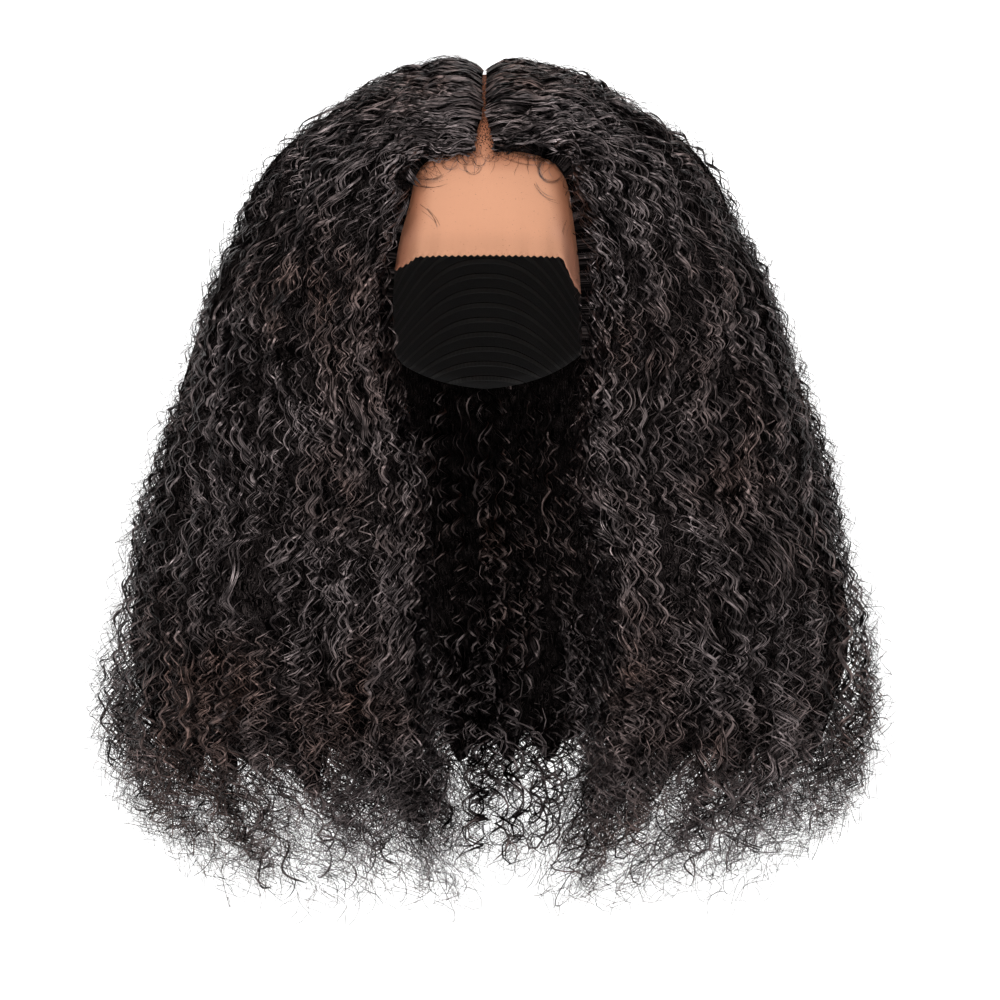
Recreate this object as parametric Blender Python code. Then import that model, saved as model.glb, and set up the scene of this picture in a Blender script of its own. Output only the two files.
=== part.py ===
"""Lace front wig with a middle parting and long, full, curly hair.

Metres, +Z up, the face opening towards -Y. The origin is the highest point inside the cap, which
sits on the crown of the head. Left and right are as seen from the front, so left is -X.
The cap and the lace are thin cloth walls over a head form. The hair is six thick walls of locks
that start at the parting, arch over the head and hang down to the tips, open in front of the face.
"""

import math
from collections import namedtuple

import bmesh
import bpy
import numpy as np

# Head form inside the cap: a squared ellipsoid, drawn out below its widest level
HEAD_HALF_WIDTH = 0.077
HEAD_HALF_DEPTH = 0.097
CROWN_TO_WIDEST = 0.115
WIDEST_TO_END = 0.210
SQUARENESS = 2.4
HEAD_MIDDLE = np.array((0.0, 0.0, -CROWN_TO_WIDEST))

# Cloth
CLOTH_WALL = 0.0012
GAP = 0.0003
END_GAP = 0.7 * GAP
SEAM_DEG = 88.0
EAR_END_DEG = 80.0
CLOTH_COLUMNS = 34
LACE_ROWS = 8
CAP_ROWS = 11
TEETH_PER_COLUMN = 2
TOOTH_HEIGHT = 0.0011

# Hair
LOCKS_PER_SIDE = 22
COLUMNS_PER_LOCK = 3
ARCH_STEPS = (0.0, 0.10, 0.22, 0.36, 0.50, 0.66, 0.83, 1.0)
HANGING_ROWS = 15
HAIR_OVER_HEAD = 0.0028
THINNEST_HAIR = 0.0030
PARTING_BACK_Y = 0.055
PARTING_HALF_GAP = 0.0006
HAIRLINE_HALF_GAP = 0.0048
HAIRLINE_OPENS_OVER = 0.012
HAIRLINE_DEG = 36.0
ROOT_LIFT = 0.45
FRONT_SQUARE = 0.9
FRONT_SQUARE_SHARE = 1 / 6
FRONT_LOCKS_FLAT = 3.0
WAVE_SWING = 0.0045
WAVE_ROWS = 3.4
FRONT_END_ROUND = 0.012
TIP_NOTCH = 0.016
TIP_VARIES = 0.009

# The cloth's free edges: how far round the head, sideways from the middle and forwards or back
Edge = namedtuple("Edge", "sideways turn")
LACE_EDGE_DEG = (
    Edge(sideways=-80, turn=-50),
    Edge(sideways=-60, turn=-28),
    Edge(sideways=-46, turn=-11),
    Edge(sideways=-22, turn=2),
    Edge(sideways=26, turn=2),
    Edge(sideways=34, turn=-12),
    Edge(sideways=42, turn=-28),
    Edge(sideways=60, turn=-46),
    Edge(sideways=80, turn=-58),
)
NAPE_EDGE_DEG = (
    Edge(sideways=-80, turn=206),
    Edge(sideways=-40, turn=211),
    Edge(sideways=0, turn=214),
    Edge(sideways=40, turn=211),
    Edge(sideways=80, turn=206),
)

# Level sections through the hanging hair: its reach to each side, to the front and to the back,
# where each side's inner edge stands beside the face, and the same reaches of its hollow
Level = namedtuple("Level", "z left right front back left_edge right_edge in_side in_front in_back")
LEVELS = (
    Level(-0.075, 0.137, 0.140, 0.104, 0.136, 0.040, 0.051, 0.0800, 0.1000, 0.1000),
    Level(-0.110, 0.152, 0.157, 0.110, 0.148, 0.057, 0.063, 0.0802, 0.1002, 0.1002),
    Level(-0.150, 0.166, 0.174, 0.112, 0.156, 0.060, 0.067, 0.0805, 0.1000, 0.1002),
    Level(-0.195, 0.181, 0.191, 0.113, 0.162, 0.049, 0.059, 0.0880, 0.0860, 0.0980),
    Level(-0.240, 0.195, 0.203, 0.115, 0.166, 0.036, 0.057, 0.1050, 0.0780, 0.1020),
    Level(-0.285, 0.208, 0.214, 0.118, 0.168, 0.034, 0.069, 0.1250, 0.0750, 0.1080),
    Level(-0.330, 0.219, 0.225, 0.122, 0.168, 0.035, 0.072, 0.1450, 0.0780, 0.1140),
    Level(-0.375, 0.222, 0.227, 0.124, 0.164, 0.034, 0.067, 0.1600, 0.0800, 0.1160),
    Level(-0.410, 0.211, 0.219, 0.118, 0.152, 0.024, 0.060, 0.1650, 0.0820, 0.1140),
    Level(-0.440, 0.187, 0.196, 0.106, 0.132, 0.020, 0.055, 0.1580, 0.0800, 0.1060),
    Level(-0.465, 0.146, 0.154, 0.084, 0.102, 0.018, 0.048, 0.1330, 0.0720, 0.0900),
)

# Each side's hair, from the face round to the back: a name and its number of locks
Section = namedtuple("Section", "name locks")
SECTIONS = (Section("front", 7), Section("side", 8), Section("back", 7))

Finish = namedtuple("Finish", "color roughness")
HAIR_FINISH = Finish((0.012, 0.010, 0.010), 0.42)
LACE_FINISH = Finish((0.78, 0.38, 0.22), 0.75)
CAP_FINISH = Finish((0.020, 0.018, 0.018), 0.90)


def head_point(directions, offset):
    """Points over the head form that lie in these directions from its middle, this far off it."""
    low = directions[..., 2:] < 0
    sides = np.broadcast_to((HEAD_HALF_WIDTH, HEAD_HALF_DEPTH), directions.shape[:-1] + (2,))
    axes = np.concatenate([sides, np.where(low, WIDEST_TO_END, CROWN_TO_WIDEST)], -1)
    reach = (np.abs(directions / axes) ** SQUARENESS).sum(-1, keepdims=True) ** (-1 / SQUARENESS)
    points = directions * reach
    normals = np.sign(points) * np.abs(points / axes) ** (SQUARENESS - 1) / axes
    normals /= np.linalg.norm(normals, axis=-1, keepdims=True)
    return points + offset * normals + HEAD_MIDDLE


def round_head(sideways, turn, offset):
    """A point over the head form, by its angle sideways from the middle plane and its turn about
    the line through the ears: 0 at the forehead, 90 degrees at the crown, 180 at the back."""
    directions = np.stack(
        [
            np.sin(sideways),
            -np.cos(sideways) * np.cos(turn),
            np.cos(sideways) * np.sin(turn),
        ],
        -1,
    )
    return head_point(directions, offset)


def edge_turn(edges, sideways):
    """The turn of an edge of the cloth, in radians, at each angle sideways in radians."""
    return np.radians(
        np.interp(np.degrees(sideways), [e.sideways for e in edges], [e.turn for e in edges])
    )


def material(name, finish):
    made = bpy.data.materials.new(name)
    made.use_nodes = True
    shader = made.node_tree.nodes["Principled BSDF"]
    shader.inputs["Base Color"].default_value = (*finish.color, 1.0)
    shader.inputs["Roughness"].default_value = finish.roughness
    made.diffuse_color = (*finish.color, 1.0)
    return made


def add_solid(name, vertices, faces, finish):
    """One closed object, its faces turned outwards."""
    mesh = bpy.data.meshes.new(name)
    mesh.from_pydata([tuple(v) for v in vertices], [], faces)
    work = bmesh.new()
    work.from_mesh(mesh)
    bmesh.ops.recalc_face_normals(work, faces=work.faces)
    work.to_mesh(mesh)
    work.free()
    mesh.materials.append(material(name, finish))
    solid = bpy.data.objects.new(name, mesh)
    bpy.context.scene.collection.objects.link(solid)
    return solid


def numbered(grid, start):
    """The vertex numbers of a grid of points, counted from start."""
    return np.arange(grid.shape[0] * grid.shape[1]).reshape(grid.shape[:2]) + start


def quads(ids):
    """The faces between neighbouring rows and columns of a numbered grid."""
    corners = np.stack([ids[:-1, :-1], ids[:-1, 1:], ids[1:, 1:], ids[1:, :-1]], -1)
    return corners.reshape(-1, 4).tolist()


def edge_strip(outer, inner):
    """The faces that close a wall's edge, from a fine row of numbers to a coarse one. Rows of one
    length give triangles, so that walls that face each other are split alike."""
    if len(outer) == len(inner):
        ahead = np.stack([outer[:-1], outer[1:], inner[1:]], -1)
        behind = np.stack([outer[:-1], inner[1:], inner[:-1]], -1)
        return ahead.tolist() + behind.tolist()
    step = (len(outer) - 1) // (len(inner) - 1)
    return [
        [*outer[i * step : (i + 1) * step + 1].tolist(), int(inner[i + 1]), int(inner[i])]
        for i in range(len(inner) - 1)
    ]


def add_cap():
    """The net cap, from its seam with the lace over the crown and down to the nape."""
    sideways = np.radians(np.linspace(-EAR_END_DEG, EAR_END_DEG, CLOTH_COLUMNS // 2 + 1))
    half_gap = GAP / 2 / (CROWN_TO_WIDEST * np.cos(sideways))
    start = np.radians(SEAM_DEG) + half_gap
    along = np.linspace(0, 1, CAP_ROWS + 1)[:, None]
    turn = start + (edge_turn(NAPE_EDGE_DEG, sideways) - start) * along
    walls = [round_head(sideways + 0 * turn, turn, offset) for offset in (CLOTH_WALL, 0.0)]
    outer = numbered(walls[0], 0)
    inner = numbered(walls[1], outer.size)
    faces = quads(outer) + quads(inner)
    for side in (np.s_[0, :], np.s_[-1, :], np.s_[:, 0], np.s_[:, -1]):
        faces += edge_strip(outer[side], inner[side])
    vertices = np.concatenate([wall.reshape(-1, 3) for wall in walls])
    return add_solid("cap", vertices, faces, CAP_FINISH)


def add_lace_front():
    """The lace panel, from its pinked edge over the forehead up to its seam with the cap. Its
    lowest row of faces ends in small teeth."""
    sideways = np.radians(np.linspace(-EAR_END_DEG, EAR_END_DEG, CLOTH_COLUMNS + 1))
    half_gap = GAP / 2 / (CROWN_TO_WIDEST * np.cos(sideways))
    end = np.radians(SEAM_DEG) - half_gap
    first_row = 0.05
    along = np.linspace(first_row, 1, LACE_ROWS)[:, None]
    low = edge_turn(LACE_EDGE_DEG, sideways)
    turn = low + (end - low) * along
    fine = np.linspace(sideways[0], sideways[-1], CLOTH_COLUMNS * TEETH_PER_COLUMN * 2 + 1)
    tooth = TOOTH_HEIGHT / (HEAD_HALF_DEPTH * np.cos(fine))
    fine_turn = edge_turn(LACE_EDGE_DEG, fine) + tooth * (np.arange(fine.size) % 2)
    walls, grids, rims = [], [], []
    for offset in (CLOTH_WALL, 0.0):
        for row in (round_head(sideways + 0 * turn, turn, offset), None):
            points = round_head(fine, fine_turn, offset)[None] if row is None else row
            ids = numbered(points, sum(wall.shape[0] * wall.shape[1] for wall in walls))
            walls.append(points)
            (rims if row is None else grids).append(ids)
    faces = quads(grids[0]) + quads(grids[1])
    for grid, rim in zip(grids, rims):
        faces += edge_strip(rim[0], grid[0])
    faces += quads(np.stack([rims[0][0], rims[1][0]]))
    faces += quads(np.stack([grids[0][-1], grids[1][-1]]))
    for end_column in (0, -1):
        outer = np.append(rims[0][0, end_column], grids[0][:, end_column])
        inner = np.append(rims[1][0, end_column], grids[1][:, end_column])
        faces += quads(np.stack([outer, inner]))
    vertices = np.concatenate([wall.reshape(-1, 3) for wall in walls])
    return add_solid("lace_front", vertices, faces, LACE_FINISH)


def level_values(z):
    """Every column of LEVELS, read at each of these heights."""
    heights = [-level.z for level in LEVELS]
    return Level(*(np.interp(-z, heights, column)[:, None] for column in zip(*LEVELS)))


def section_points(across, sideways, front, back, edge):
    """A level outline from the edge beside the face (across 0) round to the back (across 1)."""
    start = np.arctan2(edge, front)
    angle = start + (math.pi - start) * across
    depth = np.where(np.cos(angle) > 0, front, back)
    reach = (
        np.abs(np.sin(angle) / sideways) ** SQUARENESS + np.abs(np.cos(angle) / depth) ** SQUARENESS
    ) ** (-1 / SQUARENESS)
    return reach * np.sin(angle), -reach * np.cos(angle)


def parting_points(across):
    """Where each lock leaves the parting, from the hairline back over the crown, at x >= 0."""
    hairline = round_head(np.zeros(1), np.radians([HAIRLINE_DEG]), 0.0)[0]
    y = hairline[1] + (PARTING_BACK_Y - hairline[1]) * across
    opening = 1 - np.clip((y - hairline[1]) / HAIRLINE_OPENS_OVER, 0, 1)
    x = PARTING_HALF_GAP + (HAIRLINE_HALF_GAP - PARTING_HALF_GAP) * opening
    height = CROWN_TO_WIDEST * (1 - np.abs(y / HEAD_HALF_DEPTH) ** SQUARENESS) ** (1 / SQUARENESS)
    directions = np.stack([x, y, height], -1)
    return head_point(directions, HAIR_OVER_HEAD + THINNEST_HAIR)


def hair_surfaces(side):
    """Grids of the outer and the inner surface of one side's hair, rows from the parting to the
    tips and columns from the face to the back, before it is cut into sections."""
    columns = LOCKS_PER_SIDE * COLUMNS_PER_LOCK
    across = np.linspace(0, 1, columns + 1)
    z = np.linspace(LEVELS[0].z, LEVELS[-1].z, HANGING_ROWS + 1)
    level = level_values(z)
    reach, edge = (level.left, level.left_edge) if side < 0 else (level.right, level.right_edge)
    x, y = section_points(across, reach, level.front, level.back, edge)
    y = y + FRONT_END_ROUND * np.clip(1 - across * LOCKS_PER_SIDE, 0, 1) ** 2
    hanging = np.stack([x, y, z[:, None] + 0 * x], -1)
    x, y = section_points(across, level.in_side, level.in_front, level.in_back, edge)
    inner_hanging = np.stack([x, y, z[:, None] + 0 * x], -1)

    # The arch of each lock from the parting, outwards, up and over, to the first level
    roots = parting_points(across)
    span = hanging[0] - roots
    length = np.linalg.norm(span, axis=-1, keepdims=True)
    outwards = span * (1, 1, 0)
    outwards /= np.linalg.norm(outwards, axis=-1, keepdims=True)
    lift = ROOT_LIFT * np.clip(across * LOCKS_PER_SIDE / FRONT_LOCKS_FLAT, 0, 1)[:, None]
    up = np.array((0.0, 0.0, 1.0))
    square = 1 + FRONT_SQUARE * np.clip(1 - across / FRONT_SQUARE_SHARE, 0, 1)[:, None]
    leaving = length * (0.89 * square * outwards + lift * up)
    arriving = length * (0.32 / square**2 * outwards - 0.82 * square * up)
    t = np.array(ARCH_STEPS)[:-1, None, None]
    arch = (
        (2 * t**3 - 3 * t**2 + 1) * roots
        + (t**3 - 2 * t**2 + t) * leaving
        + (3 * t**2 - 2 * t**3) * hanging[0]
        + (t**3 - t**2) * arriving
    )
    from_middle = arch - HEAD_MIDDLE
    least = head_point(from_middle, HAIR_OVER_HEAD + THINNEST_HAIR)
    reach = np.linalg.norm(from_middle, axis=-1, keepdims=True)
    arch = np.where(reach < np.linalg.norm(least - HEAD_MIDDLE, axis=-1, keepdims=True), least, arch)
    outer = np.concatenate([arch, hanging])
    first_hanging = head_point(hanging[:1] - HEAD_MIDDLE, HAIR_OVER_HEAD)
    inner = np.concatenate(
        [head_point(from_middle, HAIR_OVER_HEAD), first_hanging, inner_hanging[1:]]
    )
    outer = with_locks(outer, across)
    inner = inner[:, ::COLUMNS_PER_LOCK]
    for grid in (outer, inner):
        grid[..., 0] = np.maximum(grid[..., 0], GAP)
        grid[:, -1, 0] = GAP
    return outer * (side, 1, 1), inner * (side, 1, 1)


def with_locks(grid, across):
    """The outer surface with each lock standing up from it, swinging in waves, and its tip cut."""
    rows, columns = grid.shape[:2]
    along = np.gradient(grid, axis=1)
    along /= np.linalg.norm(along, axis=-1, keepdims=True)
    down = np.gradient(grid, axis=0)
    out = np.cross(along, down)
    out /= -np.linalg.norm(out, axis=-1, keepdims=True)
    row = np.arange(rows)[:, None]
    place = np.arange(columns)[None]
    lock = across[None] * LOCKS_PER_SIDE
    ridge = np.array((0.0, 1.0, 0.8))[place % COLUMNS_PER_LOCK]
    arch_rows = len(ARCH_STEPS) - 1
    height = np.interp(row, (0, 2, arch_rows, rows - 4, rows - 1), (0, 0.002, 0.006, 0.009, 0.003))
    stagger = 1 + 0.35 * np.sin(2.1 * row + 2.6 * np.floor(lock))
    middle = np.clip(np.minimum(across, 1 - across) * 7, 0, 1)[None]
    swing = WAVE_SWING * middle * np.clip((row - 2) / arch_rows, 0, 1)
    wave = np.sin(2 * math.pi * row / WAVE_ROWS + 1.3 * np.sin(1.7 * lock))
    grid = grid + out * (height * (ridge - 0.5) * stagger)[..., None]
    grid = grid + along * (swing * wave)[..., None]
    tips = TIP_NOTCH * (1 - ridge[0]) + TIP_VARIES * np.sin(2.4 * np.floor(lock[0]) + 0.6)
    grid[-1, :, 2] += tips
    return grid


def draw_in(out, back, column, step):
    """Draws an end of a wall in from its neighbour's, square to the face between them."""
    across = back[:, column] - out[:, column]
    down = np.gradient((out[:, column] + back[:, column]) / 2, axis=0)
    inwards = np.cross(across, down)
    inwards /= np.linalg.norm(inwards, axis=-1, keepdims=True)
    towards = np.sign(((out[:, column + step] - out[:, column]) * inwards).sum())
    for grid in (out, back):
        grid[:, column] += towards * inwards * END_GAP


def add_hair(side, side_name):
    """The sections of one side's hair, each a closed wall of locks on its backing."""
    outer, inner = hair_surfaces(side)
    first = 0
    made = []
    for section in SECTIONS:
        last = first + section.locks
        out = outer[:, first * COLUMNS_PER_LOCK : last * COLUMNS_PER_LOCK + 1].copy()
        back = inner[:, first : last + 1].copy()
        if first > 0:
            draw_in(out, back, 0, 1)
        draw_in(out, back, -1, -1)
        out_ids = numbered(out, 0)
        back_ids = numbered(back, out_ids.size)
        faces = quads(out_ids) + quads(back_ids)
        for edge in (np.s_[0, :], np.s_[-1, :], np.s_[:, 0], np.s_[:, -1]):
            faces += edge_strip(out_ids[edge], back_ids[edge])
        vertices = np.concatenate([out.reshape(-1, 3), back.reshape(-1, 3)])
        name = f"hair_{side_name}_{section.name}"
        made.append(add_solid(name, vertices, faces, HAIR_FINISH))
        first = last
    return made


def main():
    for old in list(bpy.data.objects):
        bpy.data.objects.remove(old, do_unlink=True)
    add_cap()
    add_lace_front()
    add_hair(-1, "left")
    add_hair(1, "right")


main()
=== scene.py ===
"""The looks of a lace front wig: curly hair, a sheer lace front and a net cap.

The hair is a dark mass for each section, with curly strands over it as joined ribbons. The masses
and the strands follow one form, which repeats the sizes of the solids: locks that start at the
parting, arch over the cap and hang to the tips. A place on a side's form is two numbers. Across
runs from 0 at the front edge to 1 at the middle of the back on the outside, and below 0 round
that edge and over the inner surface. Down runs from 0 at the parting to 1 at the tips.
"""

import math
from collections import namedtuple

import bpy
import numpy as np
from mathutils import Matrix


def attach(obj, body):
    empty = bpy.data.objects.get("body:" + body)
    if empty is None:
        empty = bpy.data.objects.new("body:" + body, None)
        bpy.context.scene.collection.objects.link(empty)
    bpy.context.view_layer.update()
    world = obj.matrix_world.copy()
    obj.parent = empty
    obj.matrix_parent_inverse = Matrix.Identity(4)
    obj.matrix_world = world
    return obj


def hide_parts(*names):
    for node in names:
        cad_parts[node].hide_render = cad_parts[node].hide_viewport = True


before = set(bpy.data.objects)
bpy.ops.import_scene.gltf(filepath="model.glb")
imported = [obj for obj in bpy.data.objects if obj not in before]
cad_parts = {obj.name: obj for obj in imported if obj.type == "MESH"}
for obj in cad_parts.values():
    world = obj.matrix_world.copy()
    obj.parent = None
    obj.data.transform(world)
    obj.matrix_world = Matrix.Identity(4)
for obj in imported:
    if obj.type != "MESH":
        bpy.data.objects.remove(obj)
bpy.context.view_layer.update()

bl_info = {
    "name": "Lace front wig",
    "version": (1, 0, 0),
    "blender": (4, 5, 0),
    "location": "View3D > Sidebar > Wig",
    "description": "Dresses a wig with curly hair, lace and a net cap",
    "category": "Object",
}

# Head form inside the cap: a squared ellipsoid, drawn out below its widest level
HEAD_HALF_WIDTH = 0.077
HEAD_HALF_DEPTH = 0.097
CROWN_TO_WIDEST = 0.115
WIDEST_TO_END = 0.210
SQUARENESS = 2.4
HEAD_MIDDLE = np.array((0.0, 0.0, -CROWN_TO_WIDEST))

# Hair form
LOCKS_PER_SIDE = 22
HAIR_OVER_HEAD = 0.0028
THINNEST_HAIR = 0.0030
PARTING_BACK_Y = 0.055
PARTING_HALF_GAP = 0.0012
HAIRLINE_HALF_GAP = 0.0062
HAIRLINE_OPENS_OVER = 0.012
HAIRLINE_DEG = 36.0
ROOT_LIFT = 0.45
FRONT_LOCKS_FLAT = 3.0
FRONT_END_ROUND = 0.012
WAVE_SWING = 0.0045
WAVE_LENGTH = 0.090
EDGE_BULGE = 0.0015
ROOT_DIVE = 0.0022
ROOT_DIVE_OVER = 0.009
CORNER_SQUARE = 0.9

# How far the hair is drawn in on top, and at its front edge on the left and the right
DrawnIn = namedtuple("DrawnIn", "down top left right")
DRAWN_IN = (
    DrawnIn(0.02, 0.0000, 0.001, 0.003),
    DrawnIn(0.07, 0.0060, -0.009, 0.006),
    DrawnIn(0.16, 0.0060, -0.003, 0.004),
    DrawnIn(0.25, 0.0030, 0.004, 0.003),
    DrawnIn(0.31, 0.0016, 0.011, 0.005),
    DrawnIn(0.40, 0.0002, 0.010, 0.009),
    DrawnIn(0.50, 0.0000, 0.004, 0.004),
    DrawnIn(0.80, 0.0000, 0.000, 0.000),
    DrawnIn(1.00, 0.0000, -0.007, -0.018),
)
ARCH_ROWS = 56
HANGING_ROWS = 132
OUTER_COLUMNS = 264
EDGE_COLUMNS = 26
EDGE_SHARE = EDGE_COLUMNS / OUTER_COLUMNS

# Level sections through the hanging hair: its reach to each side, to the front and to the back,
# where each side's front edge stands beside the opening, and the same reaches of its hollow
Level = namedtuple("Level", "z left right front back left_edge right_edge in_side in_front in_back")
LEVELS = (
    Level(-0.075, 0.137, 0.140, 0.104, 0.136, 0.040, 0.051, 0.0800, 0.1000, 0.1000),
    Level(-0.110, 0.152, 0.157, 0.110, 0.148, 0.057, 0.063, 0.0802, 0.1002, 0.1002),
    Level(-0.150, 0.166, 0.174, 0.112, 0.156, 0.060, 0.067, 0.0805, 0.1000, 0.1002),
    Level(-0.195, 0.181, 0.191, 0.113, 0.162, 0.049, 0.059, 0.0880, 0.0860, 0.0980),
    Level(-0.240, 0.195, 0.203, 0.115, 0.166, 0.036, 0.057, 0.1050, 0.0780, 0.1020),
    Level(-0.285, 0.208, 0.214, 0.118, 0.168, 0.034, 0.069, 0.1250, 0.0750, 0.1080),
    Level(-0.330, 0.219, 0.225, 0.122, 0.168, 0.035, 0.072, 0.1450, 0.0780, 0.1140),
    Level(-0.375, 0.222, 0.227, 0.124, 0.164, 0.034, 0.067, 0.1600, 0.0800, 0.1160),
    Level(-0.410, 0.211, 0.219, 0.118, 0.152, 0.024, 0.060, 0.1650, 0.0820, 0.1140),
    Level(-0.440, 0.187, 0.196, 0.106, 0.132, 0.020, 0.055, 0.1580, 0.0800, 0.1060),
    Level(-0.465, 0.146, 0.154, 0.084, 0.102, 0.018, 0.048, 0.1330, 0.0720, 0.0900),
)
LEVEL_EASE_ROWS = 11

# The ridge of each lock, how high it stands by the place down, and how far it dips beside itself
Ridge = namedtuple("Ridge", "down height")
RIDGES = (
    Ridge(0.00, 0.000),
    Ridge(0.08, 0.002),
    Ridge(0.30, 0.005),
    Ridge(0.85, 0.007),
    Ridge(1.00, 0.004),
)
RIDGE_ROUNDNESS = 2.2
RIDGE_DIP = 0.6
INNER_RIDGES = 0.35
LEAST_RIDGE = 0.75
ROUGH_FROM_DOWN = 0.12

# Noise over a side: its steps across it and to a metre down it, how far they lean and start, its
# seed and its height
Noise = namedtuple("Noise", "across down lean past seed height")
UNEVEN_RIDGES = Noise(20, 9, 0, 0, 5, 0.5)
FINE_CLUMPS = Noise(75, 42, 20, 0, 3, 0.0024)
COARSE_CLUMPS = Noise(26, 14, 0, 5, 4, 0.0034)
SHARED_TURNS = Noise(55, 26, 0, 0, 11, 5.0)
RAGGED_ENDS = Noise(60, 0, 0, 0, 6, 0.035)

# The dark masses: their grid, how far they lie under the hair's surface by the place down, how
# much further down they reach by the place across, and where and how far they draw together
MASS_COLUMNS_PER_LOCK = 5
MASS_ROWS = 56
Inset = namedtuple("Inset", "down depth")
MASS_INSETS = (
    Inset(0.00, 0.0008),
    Inset(0.15, 0.0025),
    Inset(0.50, 0.0040),
    Inset(0.75, 0.0110),
    Inset(0.90, 0.0260),
)
INNER_INSET = 0.3
MassEnd = namedtuple("MassEnd", "across longer")
MASS_ENDS = (
    MassEnd(0.00, 0.01),
    MassEnd(0.20, 0.00),
    MassEnd(0.32, -0.02),
    MassEnd(0.55, -0.02),
    MassEnd(0.70, -0.01),
)
MASS_CLOSES_FROM = 0.70
MASS_CLOSES_BY = 0.42
MASS_UV_WIDTH = 520

Section = namedtuple("Section", "name locks")
SECTIONS = (Section("front", 7), Section("side", 8), Section("back", 7))

# How the curl changes from the parting (down 0) to the tips (down 1)
Curl = namedtuple("Curl", "down pitch swing")
CURLS = (
    Curl(0.00, 0.026, 0.0000),
    Curl(0.06, 0.024, 0.0016),
    Curl(0.14, 0.020, 0.0024),
    Curl(0.30, 0.0160, 0.0022),
    Curl(0.55, 0.0140, 0.0021),
    Curl(0.78, 0.0138, 0.0026),
    Curl(1.00, 0.0190, 0.0046),
)

# Kinds of strands on one side: how many, how many to a clump, their range across, the range down
# that they end in, their points and step, their width, how deep under and how high over the
# hair's surface they lie, how far they stray, how much of their curl is their own and not their
# neighbours', how far they turn from facing outwards, and how much wider they curl
Strands = namedtuple(
    "Strands", "count clump across ends points step width deep high stray own turn wide"
)
STRANDS = {
    "root": Strands(
        540, 1, (-0.09, 1.0), (0.09, 0.17), 27, 0.0023, 0.0015, 0.001, 0.001, 0.002, 0.5, 0.3, 1.0
    ),
    "bundle": Strands(
        1650, 3, (-0.10, 1.0), (0.14, 0.96), 38, 0.0021, 0.0014, 0.003, 0.001, 0.005, 0.7, 0.6, 1.0
    ),
    "single": Strands(
        1600, 2, (-0.10, 1.0), (0.10, 0.98), 32, 0.0019, 0.0006, 0.002, 0.002, 0.007, 1.3, 0.9, 1.2
    ),
    "loose": Strands(
        1040, 4, (-0.10, 1.0), (0.80, 0.985), 31, 0.0019, 0.0007, 0.024, 0.003, 0.009, 1.6, 0.9, 1.3
    ),
    "stray": Strands(
        1500, 1, (-0.10, 1.0), (0.06, 1.0), 16, 0.0021, 0.00026, -0.001, 0.010, 0.010, 3.0, 1.2, 1.6
    ),
    "tip": Strands(
        1800, 2, (-0.10, 1.0), (0.90, 1.04), 19, 0.0019, 0.00027, 0.022, 0.006, 0.012, 3.0, 1.2, 1.2
    ),
    "flyaway": Strands(
        22, 1, (-0.05, 1.0), (0.25, 1.0), 44, 0.0015, 0.0004, -0.002, 0.011, 0.012, 3.0, 1.0, 2.2
    ),
    "bold": Strands(
        34, 1, (-0.05, 0.95), (0.93, 1.015), 40, 0.0016, 0.0009, 0.008, 0.003, 0.010, 3.0, 0.6, 1.7
    ),
    "inside": Strands(
        300, 3, (-1.10, -0.55), (0.62, 1.03), 32, 0.0024, 0.0012, 0.004, 0.006, 0.008, 2.4, 0.8, 1.2
    ),
}

# Where strands lie: kinds that end past half way are tips, and kinds that stand out are frizz.
# Frizz gathers at the widest place, tips keep off it, and a stretch of the front edge stays bare.
HALF_WAY = 0.5
STANDS_OUT = 0.005
FRONT_BIAS = 1.2
WIDEST_ACROSS = 0.42
FRIZZ_SPREAD = 0.07
FRIZZ_SHARE = 0.5
TIPS_KEEP_OFF = 0.07
TIPS_MOVE_TO = (-0.1, 0.26)
BARE_DOWN = (0.08, 0.30)
BARE_ACROSS = -0.060
DRIFT_ACROSS = 0.0025
ENDS_VARY = 0.01

# How strands differ: the ranges of their steps, pitches and swings as shares
STEP_RANGE = (0.75, 1.2)
PITCH_RANGE = (0.75, 1.3)
SWING_RANGE = (0.7, 1.4)
OWN_SWING_RANGE = (0.8, 1.2)
OWN_PHASE = 1.4
PHASE_VARIES = 0.2
STRAYS_PER_METRE = 22

# How strands leave the surface: their depth as a share by the place down, tips deeper between two
# places down, clumps that narrow towards their ends, and roots that dive or start past the parting
Freedom = namedtuple("Freedom", "down share")
FREEDOM = (
    Freedom(0.00, 0.15),
    Freedom(0.12, 0.35),
    Freedom(0.50, 0.50),
    Freedom(0.85, 0.85),
    Freedom(1.00, 1.00),
)
Tilt = namedtuple("Tilt", "down share")
TILTS = (Tilt(0.2, 0.1), Tilt(0.9, 0.6))
TILT_VARIES = 0.5
DEEPER_TIPS = 0.016
DEEPER_DOWN = (0.45, 0.8)
CLUMP_WIDTH = 0.0030
CLUMP_DEPTH = 0.0012
CLUMP_NARROWS = 0.6
START_DIVE = 0.004
START_POINTS = 5
PAST_ROOT = 0.0020
PAST_ROOT_OVER = 0.005

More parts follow.
